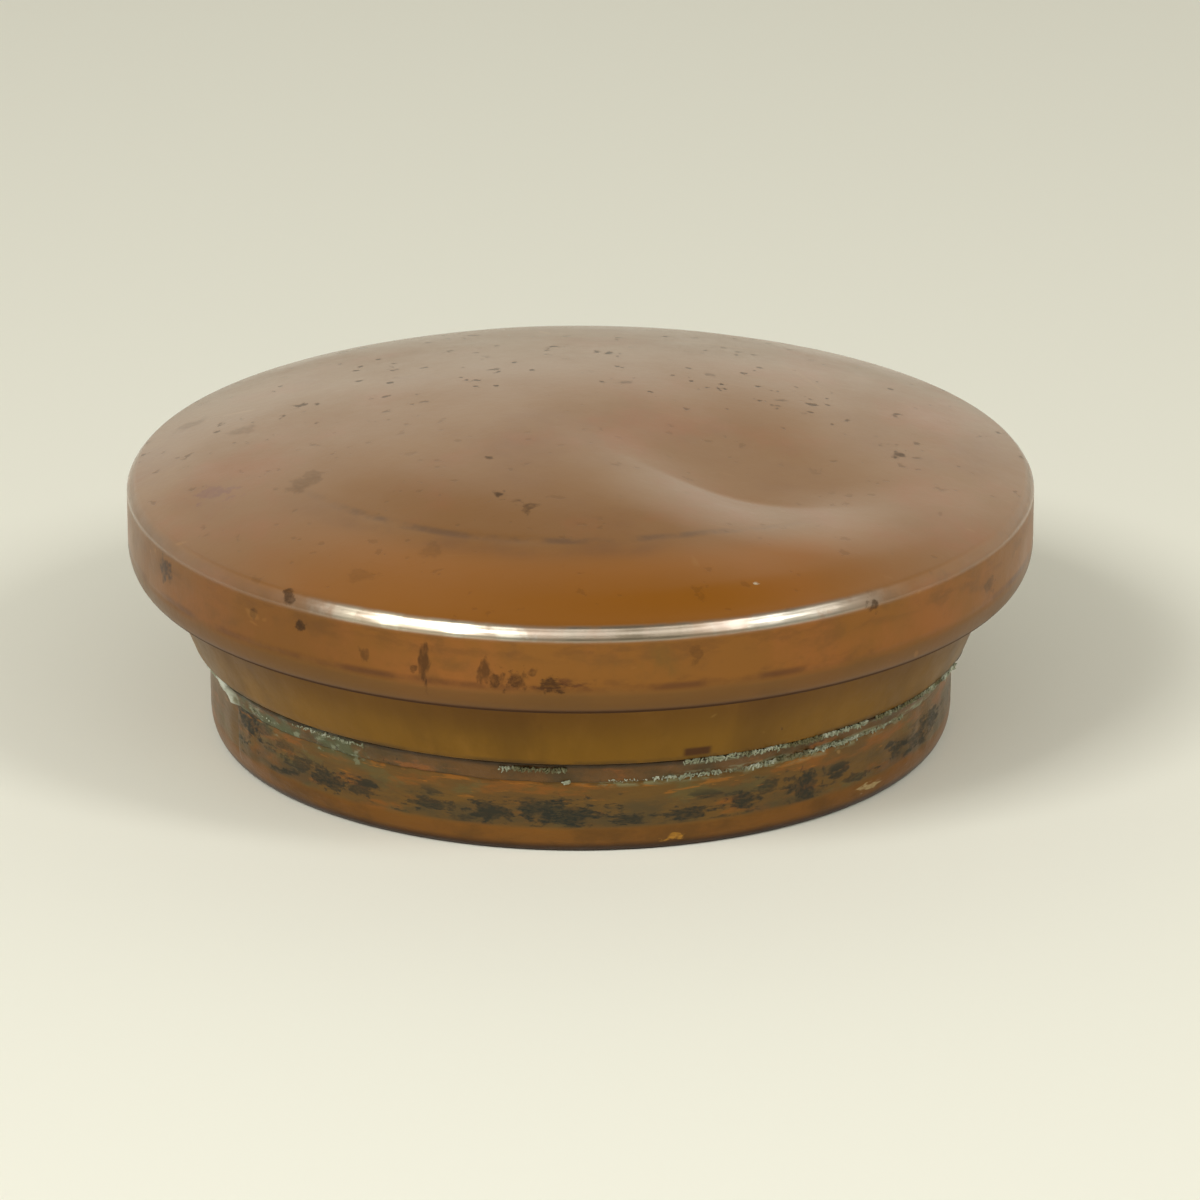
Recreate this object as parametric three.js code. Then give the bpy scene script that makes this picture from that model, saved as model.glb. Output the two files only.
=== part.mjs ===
// A round box of sheet copper and brass with a domed lid that lifts straight off.
// Millimetres, +Z up. The origin is the middle of the ring that the foot stands on.
import * as THREE from 'three';

// Sheet and wire
const COPPER_SHEET = 0.5;
const BRASS_SHEET = 0.6;
const FLOOR_SHEET = 0.6;
const WIRE_DIAMETER = 0.9;

// Clearances
const WIRE_PLAY = 0.03; // between a wire and the sheet rolled round it
const SEAT_GAP = 0.05; // between a piece and what it is soldered to or stands on
const TUCK_GAP = 0.12; // between the foot and what is pushed down inside it
const LID_PLAY = 0.2; // between the lid's rolled edge and the ring it slips over

// Foot
const FOOT_RADIUS = 28;
const FOOT_HEIGHT = 7.35;
const FOOT_FLAT_DEPTH = 0.1; // how deep the rolled edge is worn flat underneath
const FLOOR_FILLET = 0.7;
const SEAM_FILLET_HEIGHT = 1.7; // how far the solder reaches down the foot from the wall's edge

// Brass wall and mouth
const WALL_OVERHANG = 1.2; // how far the wall's lower edge stands out over the foot
const WALL_HEIGHT = 5.75; // from that edge to the top of the ledge that carries the lid
const COLLAR_LIFT = 0.7; // from the floor's solder up to the collar inside the foot
const MOUTH_HEIGHT = 4.6;
const MOUTH_BEVEL = 0.15;

// Lid
const LID_RADIUS = 34;
const SKIRT_HEIGHT = 6.5; // from the rolled edge's underside to the corner of the shoulder
const DOME_RISE = 6.55; // from the corner of the shoulder to the crown
const SHOULDER_RADIUS = 1.2;
const ROLL_PROUD = 0.05; // how far a rolled edge stands out from the sheet above it

// Angles in degrees round a rolled edge, from its outermost point
const ROLL_END = -240; // where the sheet stops after curling under and up inside
const ROLL_CREASE = 50; // where the roll meets the crease above it
const LEDGE_TOUCH = 45; // how far up its side the lid's roll sits on the ledge

// Facets
const ROUND_STEPS = 48;
const ROLL_STEPS = 8;
const WIRE_SIDES = 8;
const SHOULDER_STEPS = 3;
const DOME_STEPS = 7;

// Rolled edges, alike on the lid and on the foot
const rollInner = WIRE_DIAMETER / 2 + WIRE_PLAY;
const rollOuter = rollInner + COPPER_SHEET;

// Heights and radii that follow from the driving dimensions
const footRoll = new THREE.Vector2(FOOT_RADIUS + ROLL_PROUD - rollOuter, rollOuter - FOOT_FLAT_DEPTH);
const footBore = FOOT_RADIUS - COPPER_SHEET;
const tuckRadius = footBore - TUCK_GAP;
const floorBottom = footRoll.y + rollOuter * Math.sin(THREE.MathUtils.degToRad(ROLL_END)) + SEAT_GAP;
const floorTop = floorBottom + FLOOR_SHEET;
const floorSolderTop = floorTop + SEAT_GAP + FLOOR_FILLET;
const collarBottom = floorSolderTop + COLLAR_LIFT;
const seamHeight = FOOT_HEIGHT + SEAT_GAP;
const wallRadius = FOOT_RADIUS + WALL_OVERHANG;
const ledgeTop = seamHeight + WALL_HEIGHT;
const ledgeBottom = ledgeTop - BRASS_SHEET;

const ledgeTouch = THREE.MathUtils.degToRad(LEDGE_TOUCH);
const lidRollRadius = LID_RADIUS + ROLL_PROUD - rollOuter;
const lidRoll = new THREE.Vector2(lidRollRadius, ledgeTop + (rollOuter + SEAT_GAP) * Math.sin(ledgeTouch));
const ledgeRadius = lidRoll.x - (rollOuter + SEAT_GAP) * Math.cos(ledgeTouch);
const mouthOuter = lidRoll.x - rollOuter - LID_PLAY;
const mouthInner = mouthOuter - BRASS_SHEET;
const mouthBottom = ledgeTop + SEAT_GAP;
const mouthTop = mouthBottom + MOUTH_HEIGHT;
const flare = (mouthInner - wallRadius) / (ledgeBottom - seamHeight); // wall's slope, radius over height

const copper = new THREE.MeshStandardMaterial({ color: 0x8a5228, roughness: 0.32, metalness: 0.9 });
const darkCopper = new THREE.MeshStandardMaterial({ color: 0x5c4526, roughness: 0.5, metalness: 0.8 });
const brass = new THREE.MeshStandardMaterial({ color: 0x7a5a22, roughness: 0.4, metalness: 0.9 });
const solder = new THREE.MeshStandardMaterial({ color: 0x9aa68c, roughness: 0.8, metalness: 0.2 });

// Points along an arc, both ends included
function arc(centre, radius, fromDegrees, toDegrees, steps) {
  return Array.from({ length: steps + 1 }, (unused, step) => {
    const angle = THREE.MathUtils.degToRad(fromDegrees + ((toDegrees - fromDegrees) * step) / steps);
    return new THREE.Vector2(centre.x + radius * Math.cos(angle), centre.y + radius * Math.sin(angle));
  });
}

// A turned piece from a section in radius and height, closed on itself or ending on the axis
function turned(name, material, section) {
  const onAxis = section[0].x === 0;
  const outline = onAxis ? section : [...section, section[0]];
  const mesh = new THREE.Mesh(new THREE.LatheGeometry(outline, ROUND_STEPS), material);
  mesh.name = name;
  mesh.rotation.x = Math.PI / 2;
  return mesh;
}

const at = (radius, height) => new THREE.Vector2(radius, height);

// The inside of a rolled edge, followed from the sheet above it down and round to its end
const rollInside = (centre) => arc(centre, rollInner, 0, ROLL_END, ROLL_STEPS);

// The outside of a rolled edge, followed back from its end to the crease, with an optional worn flat
function rollOutside(centre, flatDepth) {
  const flatHalf = THREE.MathUtils.radToDeg(Math.acos((rollOuter - flatDepth) / rollOuter));
  const beforeFlat = arc(centre, rollOuter, ROLL_END, -90 - flatHalf, ROLL_STEPS / 2);
  const afterFlat = arc(centre, rollOuter, -90 + flatHalf, ROLL_CREASE, ROLL_STEPS / 2);
  return flatDepth > 0 ? [...beforeFlat, ...afterFlat] : [...beforeFlat, ...afterFlat.slice(1)];
}

const creaseHeight = (centre) => centre.y + rollOuter * Math.sin(THREE.MathUtils.degToRad(ROLL_CREASE));

function edgeWire(name, centre) {
  const circle = arc(centre, WIRE_DIAMETER / 2, 0, 360, WIRE_SIDES);
  return turned(name, copper, circle.slice(0, -1));
}

// Lid: a shallow sphere, a tight shoulder and an upright skirt, all of one sheet
function lidCrown() {
  const cornerHeight = lidRoll.y - rollOuter + SKIRT_HEIGHT;
  const sphereRadius = (LID_RADIUS ** 2 + DOME_RISE ** 2) / (2 * DOME_RISE);
  const sphere = at(0, cornerHeight + DOME_RISE - sphereRadius);
  const shoulderX = LID_RADIUS - SHOULDER_RADIUS;
  const shoulderAbove = Math.sqrt((sphereRadius - SHOULDER_RADIUS) ** 2 - shoulderX ** 2);
  const shoulder = at(shoulderX, sphere.y + shoulderAbove);
  const meet = THREE.MathUtils.radToDeg(Math.atan2(shoulderAbove, shoulderX));

  // One face of the sheet, from the skirt up over the shoulder to the crown
  const face = (inset) => [
    ...arc(shoulder, SHOULDER_RADIUS - inset, 0, meet, SHOULDER_STEPS),
    ...arc(sphere, sphereRadius - inset, meet, 90, DOME_STEPS).slice(1, -1),
    at(0, sphere.y + sphereRadius - inset),
  ];
  const crease = creaseHeight(lidRoll);
  return turned('lid_crown', copper, [
    ...face(COPPER_SHEET).reverse(),
    at(LID_RADIUS - COPPER_SHEET, crease),
    ...rollInside(lidRoll),
    ...rollOutside(lidRoll, 0),
    at(LID_RADIUS, crease + COPPER_SHEET / 2),
    ...face(0),
  ]);
}

// Upright ring that the lid slips over, standing on the wall's ledge
function mouthRing() {
  return turned('mouth_ring', brass, [
    at(mouthInner, mouthBottom),
    at(mouthOuter, mouthBottom),
    at(mouthOuter, mouthTop - MOUTH_BEVEL),
    at(mouthOuter - MOUTH_BEVEL, mouthTop),
    at(mouthInner + MOUTH_BEVEL, mouthTop),
    at(mouthInner, mouthTop - MOUTH_BEVEL),
  ]);
}

// Brass wall: a collar inside the foot, a step out over the foot, a flare, and the ledge that carries the lid
function flaredWall() {
  const wallAcross = BRASS_SHEET * Math.hypot(1, flare);
  const innerAt = (height) => wallRadius + flare * (height - seamHeight) - wallAcross;
  const stepTop = seamHeight + BRASS_SHEET;
  return turned('flared_wall', brass, [
    at(tuckRadius - BRASS_SHEET, collarBottom),
    at(tuckRadius, collarBottom),
    at(tuckRadius, seamHeight),
    at(wallRadius, seamHeight),
    at(mouthInner, ledgeBottom),
    at(ledgeRadius, ledgeBottom),
    at(ledgeRadius, ledgeTop),
    at(innerAt(ledgeTop), ledgeTop),
    at(innerAt(stepTop), stepTop),
    at(tuckRadius - BRASS_SHEET, stepTop),
  ]);
}

// Solder in the corner between the foot and the underside of the wall's edge
function seamSolder() {
  const inner = FOOT_RADIUS + SEAT_GAP;
  return turned('seam_solder', solder, [
    at(inner, FOOT_HEIGHT - SEAM_FILLET_HEIGHT),
    at(wallRadius - SEAT_GAP, FOOT_HEIGHT),
    at(inner, FOOT_HEIGHT),
  ]);
}

// Copper strip with a plain top edge and a rolled bottom edge
function footBand() {
  const crease = creaseHeight(footRoll);
  return turned('foot_band', darkCopper, [
    at(footBore, FOOT_HEIGHT),
    at(footBore, crease),
    ...rollInside(footRoll),
    ...rollOutside(footRoll, FOOT_FLAT_DEPTH),
    at(FOOT_RADIUS, crease + COPPER_SHEET / 2),
    at(FOOT_RADIUS, FOOT_HEIGHT),
  ]);
}

// Disc dropped into the foot, standing on the inside of its rolled edge
function floorPlate() {
  return turned('floor_plate', darkCopper, [
    at(0, floorBottom),
    at(tuckRadius, floorBottom),
    at(tuckRadius, floorTop),
    at(0, floorTop),
  ]);
}

function floorSolder() {
  const outer = footBore - SEAT_GAP;
  const bottom = floorTop + SEAT_GAP;
  return turned('floor_solder', solder, [
    at(outer - FLOOR_FILLET, bottom),
    at(outer, bottom),
    at(outer, floorSolderTop),
  ]);
}

const lid = new THREE.Group();
lid.add(lidCrown(), edgeWire('lid_edge_wire', lidRoll));

const foot = new THREE.Group();
foot.add(footBand(), edgeWire('foot_edge_wire', footRoll), floorPlate(), floorSolder());

const box = new THREE.Group();
box.add(foot, flaredWall(), seamSolder(), mouthRing());

const moneyBox = new THREE.Group();
moneyBox.add(box, lid);

export default moneyBox;
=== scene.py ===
import math

import bpy
import numpy as np
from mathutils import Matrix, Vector


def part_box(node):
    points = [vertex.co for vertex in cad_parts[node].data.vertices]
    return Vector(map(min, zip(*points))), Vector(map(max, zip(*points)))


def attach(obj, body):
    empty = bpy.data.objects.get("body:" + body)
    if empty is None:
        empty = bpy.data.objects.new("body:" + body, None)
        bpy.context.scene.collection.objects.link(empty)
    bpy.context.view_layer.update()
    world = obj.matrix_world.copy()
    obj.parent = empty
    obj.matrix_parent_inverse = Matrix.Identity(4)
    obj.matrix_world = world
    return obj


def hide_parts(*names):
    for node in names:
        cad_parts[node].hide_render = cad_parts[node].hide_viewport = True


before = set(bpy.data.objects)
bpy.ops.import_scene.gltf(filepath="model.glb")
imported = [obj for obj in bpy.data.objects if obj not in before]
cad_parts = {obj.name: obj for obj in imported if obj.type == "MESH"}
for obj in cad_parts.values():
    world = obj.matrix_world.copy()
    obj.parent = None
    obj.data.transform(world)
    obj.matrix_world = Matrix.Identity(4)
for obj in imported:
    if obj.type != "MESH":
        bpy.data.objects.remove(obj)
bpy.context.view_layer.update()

# Every size below is in millimetres and every angle in degrees, unless a name says otherwise.
# Azimuth is measured round the box from the side that faces the viewer, growing to the right.
MM = 0.001

# Viewpoint
FRAME_PIXELS = 1200
FOCAL_PIXELS = 8380
SENSOR_WIDTH = 36
VIEW_ELEVATION = 20.5
VIEW_DISTANCE = 630.6
AIM_POINT = (1.475, 0, 9.2)

# Facets of the fine pieces
ROUND_STEPS = 360
FINE_ROUND_STEPS = 720
WIRE_STEPS = 180
WIRE_SIDES = 16

# Sheet and wire
COPPER_SHEET = 0.5
BRASS_SHEET = 0.6
WIRE_PLAY = 0.03
ROLL_END = -240
SEAT_GAP = 0.05
TUCK_GAP = 0.12
CORNER_ROUND = 0.12

# Lid
LID_INSET = 0.04
DOME_RISE = 6.55
BEVEL_TILT = 35
BEVEL_LENGTH = 0.7
BEVEL_ROUND = 0.2
BEVEL_BULGE = 0.04
SHOULDER_RADIUS = 0.8
LIP_DEPTH = 1.0
LIP_HEIGHT = 2.0
LIP_CREASE = 0.05
RING_MARK_RADIUS = 24
RING_MARK_DEPTH = 0.015
PRESSED_DEPTH = 0.3

# The dent on the right of the dome: a steep wall along a bent line in front, and a slow rise behind it.
# Places are given across the box and towards the viewer.
DENT_ACROSS, DENT_TOWARD = 12.5, 18.8
DENT_SLANT, DENT_BEND = 0.15, 0.028
DENT_DEPTH = 1.75
DENT_LIP = 0.25
DENT_WALL = 9.5
DENT_REACH = 16
DENT_LEFT, DENT_RIGHT = 9.5, 11
DENT_CRISP_PLACE, DENT_CRISP_HALF = -1, 6.5

# Slow swellings of the dome: across, towards the viewer, half length, half width, turn, height
SWELLINGS = [
    (-11, 16, 21, 5.5, 34, 0.22),
    (-5.5, -14, 17.5, 7.3, -17, -0.22),
]

# Foot
FOOT_LIP_DEPTH = 0.8
FOOT_LIP_HEIGHT = 1.9
LAP_AZIMUTH = -64
LAP_STEP = 0.2
LAP_SPREAD = 34


def node_span(name):
    """Lowest and highest corner of a solid, in millimetres."""
    low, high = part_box(name)
    return low / MM, high / MM


def ring_of(name):
    """Middle radius, middle height and thickness of a wire ring."""
    low, high = node_span(name)
    thick = high.z - low.z
    return high.x - thick / 2, (low.z + high.z) / 2, thick


# Sizes taken from the solids
LID_RADIUS = node_span("lid_crown")[1].x - LID_INSET
LID_BOTTOM = node_span("lid_crown")[0].z
CROWN = node_span("lid_crown")[1].z
SHOULDER_HEIGHT = CROWN - DOME_RISE
LIP_TOP = LID_BOTTOM + LIP_HEIGHT
WALL_TOP = node_span("flared_wall")[1].z
LEDGE_RADIUS = node_span("flared_wall")[1].x - 0.1
MOUTH_RADIUS = node_span("mouth_ring")[1].x
WALL_RADIUS = node_span("seam_solder")[1].x + SEAT_GAP
SEAM_HEIGHT = node_span("foot_band")[1].z + SEAT_GAP
SEAM_FOOT = node_span("seam_solder")[0].z
TUCK_RADIUS = node_span("floor_plate")[1].x
FOOT_RADIUS = TUCK_RADIUS + TUCK_GAP + COPPER_SHEET


# Section drawing: points are (radius, height)

def oval(centre, reach, rise, start, stop, steps):
    """Part of an oval with these half sizes."""
    angles = np.radians(np.linspace(start, stop, steps + 1))
    return [(centre[0] + reach * math.cos(a), centre[1] + rise * math.sin(a)) for a in angles]


def arc(centre, radius, start, stop, steps):
    return oval(centre, radius, radius, start, stop, steps)


def line(first, last, steps):
    shares = np.linspace(0, 1, steps + 1)
    return [tuple(np.array(first) * (1 - s) + np.array(last) * s) for s in shares]


def bow(first, pull, last, steps):
    """A curve from first to last, drawn towards pull."""
    first, pull, last = (np.array(p, float) for p in (first, pull, last))
    shares = np.linspace(0, 1, steps + 1)
    return [tuple((1 - s) ** 2 * first + 2 * s * (1 - s) * pull + s ** 2 * last) for s in shares]


def rounded(corners, radius):
    """A closed outline with each corner turned into a small curve."""
    points = []
    for index, corner in enumerate(np.array(corners, float)):
        ways = [np.array(corners[(index + turn) % len(corners)], float) - corner for turn in (-1, 1)]
        ends = [corner + way * min(radius / np.linalg.norm(way), 0.45) for way in ways]
        points += bow(ends[0], corner, ends[1], 3)
    return points


def divided(outline, longest):
    """The same closed outline with long stretches split, so that it can be dented."""
    points = []
    for first, last in zip(outline, outline[1:] + outline[:1]):
        steps = max(1, math.ceil(math.dist(first, last) / longest))
        points += line(first, last, steps)[:-1]
    return points


# Hand-made irregularity

def bell(distance, width):
    return np.exp(-(distance / width) ** 2)


def step_up(value, low, high):
    """0 before low, 1 after high, and smooth between."""
    share = np.clip((value - low) / (high - low), 0, 1)
    return share * share * (3 - 2 * share)


def between(azimuth, start, stop, edge):
    """1 between two azimuths, fading out over edge degrees at each end."""
    degrees = (np.degrees(azimuth) + 180) % 360 - 180
    return step_up(degrees, start - edge, start) * step_up(degrees, stop + edge, stop)


def ripple(azimuth, *terms):
    """Sum of waves round the box: each term is (size, waves round, phase)."""
    return sum(size * np.cos(waves * azimuth + phase) for size, waves, phase in terms)


def lumps(azimuth, seed, step_degrees):
    """Smooth random lumps round the box, of size about 1 and the same on every run."""
    count = int(360 / step_degrees)
    values = np.random.default_rng(seed).normal(0, 1, count)
    knots = np.degrees(azimuth) / step_degrees % count
    before = np.floor(knots).astype(int) % count
    share = step_up(knots - np.floor(knots), 0, 1)
    return values[before] * (1 - share) + values[(before + 1) % count] * share


# Turned pieces

def shown(name, mesh):
    piece = bpy.data.objects.new(name, mesh)
    bpy.context.scene.collection.objects.link(piece)
    return piece


def turned(name, section, shape=None, inside=None, steps=ROUND_STEPS):
    """A solid turned about the upright axis.

    The section is walked with the metal on its left. It closes on itself, or starts and ends on
    the axis. shape(azimuth, radius, height) gives the dented radius and height, and inside marks
    the hidden face."""
    section = np.array(section, float)
    on_axis = section[0, 0] == 0
    rows = section[1:-1] if on_axis else section
    azimuth = np.repeat(np.linspace(0, 2 * math.pi, steps, endpoint=False)[:, None], len(rows), axis=1)
    radius = np.repeat(rows[None, :, 0], steps, axis=0)
    height = np.repeat(rows[None, :, 1], steps, axis=0)
    if shape:
        radius, height = shape(azimuth, radius, height)
    places = [radius * np.sin(azimuth), -radius * np.cos(azimuth), height]
    points = np.stack(places, axis=-1).reshape(-1, 3)

    count = len(rows)
    here = np.arange(steps)[:, None] * count
    there = (np.arange(steps)[:, None] + 1) % steps * count
    low = np.arange(count - 1 if on_axis else count)[None, :]
    high = (low + 1) % count
    corners = [here + low, there + low, there + high, here + high]
    faces = np.stack(corners, axis=-1).reshape(-1, 4).tolist()
    if on_axis:
        first_pole, last_pole = len(points), len(points) + 1
        points = np.concatenate([points, [[0, 0, height[:, 0].mean()], [0, 0, height[:, -1].mean()]]])
        here, there = here.ravel(), there.ravel()
        faces += np.stack([np.full(steps, first_pole), there, here], axis=-1).tolist()
        last_fan = [here + count - 1, there + count - 1, np.full(steps, last_pole)]
        faces += np.stack(last_fan, axis=-1).tolist()

    mesh = bpy.data.meshes.new(name)
    mesh.from_pydata((points * MM).tolist(), [], faces)
    mesh.shade_smooth()
    if inside is not None:
        marks = np.array(inside, np.float32)
        spread = np.tile(marks[1:-1] if on_axis else marks, steps)
        spread = np.concatenate([spread, marks[[0, -1]]]) if on_axis else spread
        mesh.attributes.new("inside", "FLOAT", "POINT").data.foreach_set("value", spread)
    return shown(name, mesh)


def dress(piece, body, slot, material, *nodes):
    """Gives a finished piece its material and its body, with the solids that it stands for hidden. Its
    slot is not used.
    """
    piece.data.materials.clear()
    piece.data.materials.append(material)
    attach(piece, body)
    if nodes:
        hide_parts(*nodes)


# Shader building

def colour(red, green, blue):
    """A display colour, 0 to 255, as the shader's linear colour."""
    def linear(level):
        level /= 255
        return level / 12.92 if level <= 0.04045 else ((level + 0.055) / 1.055) ** 2.4
    return (linear(red), linear(green), linear(blue), 1)


class Graph:
    """Adds nodes to a tree and hands back their outputs."""

    def __init__(self, tree):
        self.tree = tree

    def join(self, node, inputs):
        for name, value in inputs.items():
            if isinstance(value, bpy.types.NodeSocket):
                self.tree.links.new(value, node.inputs[name])
            else:
                node.inputs[name].default_value = value
        return node

    def node(self, kind, inputs, **settings):
        node = self.tree.nodes.new(kind)
        for name, value in settings.items():
            setattr(node, name, value)
        return self.join(node, inputs)

    def calc(self, operation, first, second=0.0):
        return self.node("ShaderNodeMath", {0: first, 1: second}, operation=operation).outputs[0]

    def times(self, *values):
        result = values[0]
        for value in values[1:]:
            result = self.calc("MULTIPLY", result, value)
        return result

    def most(self, *values):
        result = values[0]
        for value in values[1:]:
            result = self.calc("MAXIMUM", result, value)
        return result

    def without(self, value):
        return self.calc("SUBTRACT", 1.0, value)

    def remap(self, value, low, high, to_low=0.0, to_high=1.0):
        inputs = {
            "Value": value, "From Min": low, "From Max": high, "To Min": to_low, "To Max": to_high}
        return self.node("ShaderNodeMapRange", inputs, interpolation_type="SMOOTHSTEP").outputs[0]

    def triple(self, across, back, up):
        return self.node("ShaderNodeCombineXYZ", {0: across, 1: back, 2: up}).outputs[0]

    def vector(self, operation, first, second):
        node = self.node("ShaderNodeVectorMath", {0: first, 1: second}, operation=operation)
        return node.outputs["Vector"]

    def noise(self, place, scale, detail, shift=0.0):
        inputs = {"Vector": place, "W": shift, "Scale": scale, "Detail": detail, "Roughness": 0.6}
        return self.node("ShaderNodeTexNoise", inputs, noise_dimensions="4D").outputs[0]

    def paint(self, base, share, over):
        """The base colour with another laid over it."""
        return self.node("ShaderNodeMix", {0: share, 6: base, 7: over}, data_type="RGBA").outputs[2]

    def effect(self, group, inputs):
        """The outputs of a shared effect placed in this tree."""
        return self.join(self.node("ShaderNodeGroup", {}, node_tree=group), inputs).outputs


VECTOR_INPUTS = ("Vector", "Centre")


def shared_effect(name, inputs, outputs, build):
    """A shader node group. build(graph, inputs) gives one socket for each output."""
    tree = bpy.data.node_groups.new(name, "ShaderNodeTree")
    for label in inputs:
        kind = "NodeSocketVector" if label in VECTOR_INPUTS else "NodeSocketFloat"
        tree.interface.new_socket(name=label, in_out="INPUT", socket_type=kind)
    for label in outputs:
        tree.interface.new_socket(name=label, in_out="OUTPUT", socket_type="NodeSocketFloat")
    entry = tree.nodes.new("NodeGroupInput").outputs
    leave = tree.nodes.new("NodeGroupOutput").inputs
    for socket, result in zip(leave, build(Graph(tree), entry)):
        tree.links.new(result, socket)
    return tree


def build_place(graph, entry):
    """Where a point lies on the box: azimuth in degrees, radius and height in millimetres."""
    parts = graph.node("ShaderNodeSeparateXYZ", {0: entry["Vector"]}).outputs
    toward_viewer = graph.calc("MULTIPLY", parts["Y"], -1.0)
    azimuth = graph.calc("DEGREES", graph.calc("ARCTAN2", parts["X"], toward_viewer))
    squares = [graph.calc("POWER", parts[axis], 2.0) for axis in ("X", "Y")]
    radius = graph.calc("DIVIDE", graph.calc("SQRT", graph.calc("ADD", *squares)), MM)
    return azimuth, radius, graph.calc("DIVIDE", parts["Z"], MM)


def build_clouds(graph, entry):
    """Soft patches. Upright above 1 draws them out round the box, below 1 up its side."""
    place = graph.vector("MULTIPLY", entry["Vector"], graph.triple(1.0, 1.0, entry["Upright"]))
    noise = graph.noise(place, entry["Scale"], 6.0, entry["Shift"])
    return (graph.remap(noise, entry["Low"], entry["High"]),)


def build_pits(graph, entry):
    """Scattered ragged specks of many sizes. Share is the part of the places that have one."""
    wobble = graph.noise(entry["Vector"], 1500.0, 3.0)
    shifted = graph.vector("ADD", entry["Vector"], graph.triple(entry["Shift"], 0.0, 0.0))
    cells = graph.node("ShaderNodeTexVoronoi", {"Vector": shifted, "Scale": entry["Scale"]}).outputs
    ragged = graph.times(cells["Distance"], graph.remap(wobble, 0.3, 0.7, 0.35, 2.0))
    chance = graph.node("ShaderNodeSeparateColor", {0: cells["Color"]}).outputs[0]
    size = graph.times(entry["Size"], graph.remap(chance, 0.0, entry["Share"], 1.2, 0.35))
    near = graph.remap(ragged, size, graph.times(size, 0.6))
    return (graph.times(near, graph.calc("LESS_THAN", chance, entry["Share"])),)


def build_scratches(graph, entry):
    """Short straight strokes that run at the angle Turn, seen from above."""
    turn = graph.calc("RADIANS", entry["Turn"])
    settings = {"Vector": entry["Vector"], "Angle": turn}
    along = graph.node("ShaderNodeVectorRotate", settings, rotation_type="Z_AXIS").outputs[0]
    drawn_out = graph.vector("MULTIPLY", along, (0.03, 1.0, 1.0))
    noise = graph.noise(drawn_out, entry["Scale"], 1.0, entry["Shift"])
    return (graph.remap(noise, entry["Low"], graph.calc("ADD", entry["Low"], 0.05)),)


def build_stain(graph, entry):
    """One stain round a point, with an uneven edge. Upright above 1 makes it wider than it is high."""
    stretch = graph.triple(1.0, 1.0, entry["Upright"])
    grain = graph.vector("MULTIPLY", entry["Vector"], stretch)
    wobble = graph.noise(grain, 900.0, 4.0)
    away = graph.vector("SUBTRACT", entry["Vector"], entry["Centre"])
    drawn = graph.vector("MULTIPLY", away, stretch)
    reach = graph.node("ShaderNodeVectorMath", {0: drawn}, operation="LENGTH").outputs["Value"]
    uneven = graph.times(reach, graph.remap(wobble, 0.3, 0.7, 0.4, 1.6))
    thin = graph.remap(graph.noise(grain, 2600.0, 3.0), 0.35, 0.6, 0.6, 1.0)
    within = graph.remap(uneven, entry["Radius"], graph.times(entry["Radius"], 0.55))
    return (graph.times(thin, within),)


def build_band(graph, entry):
    """1 within Half of Middle, falling to 0 over Edge."""
    away = graph.calc("ABSOLUTE", graph.calc("SUBTRACT", entry["Value"], entry["Middle"]))
    return (graph.remap(away, graph.calc("ADD", entry["Half"], entry["Edge"]), entry["Half"]),)


PLACE = shared_effect("place_on_box", ["Vector"], ["Azimuth", "Radius", "Height"], build_place)
CLOUDS = shared_effect(
    "soft_clouds", ["Vector", "Scale", "Upright", "Low", "High", "Shift"], ["Mask"], build_clouds)
PITS = shared_effect("pits", ["Vector", "Scale", "Size", "Share", "Shift"], ["Mask"], build_pits)
SCRATCHES = shared_effect(
    "fine_scratches", ["Vector", "Scale", "Turn", "Low", "Shift"], ["Mask"], build_scratches)
STAIN = shared_effect("stain", ["Vector", "Centre", "Radius", "Upright"], ["Mask"], build_stain)
BAND = shared_effect("band", ["Value", "Middle", "Half", "Edge"], ["Mask"], build_band)


BARE_GLOSS = 0.2


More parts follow.
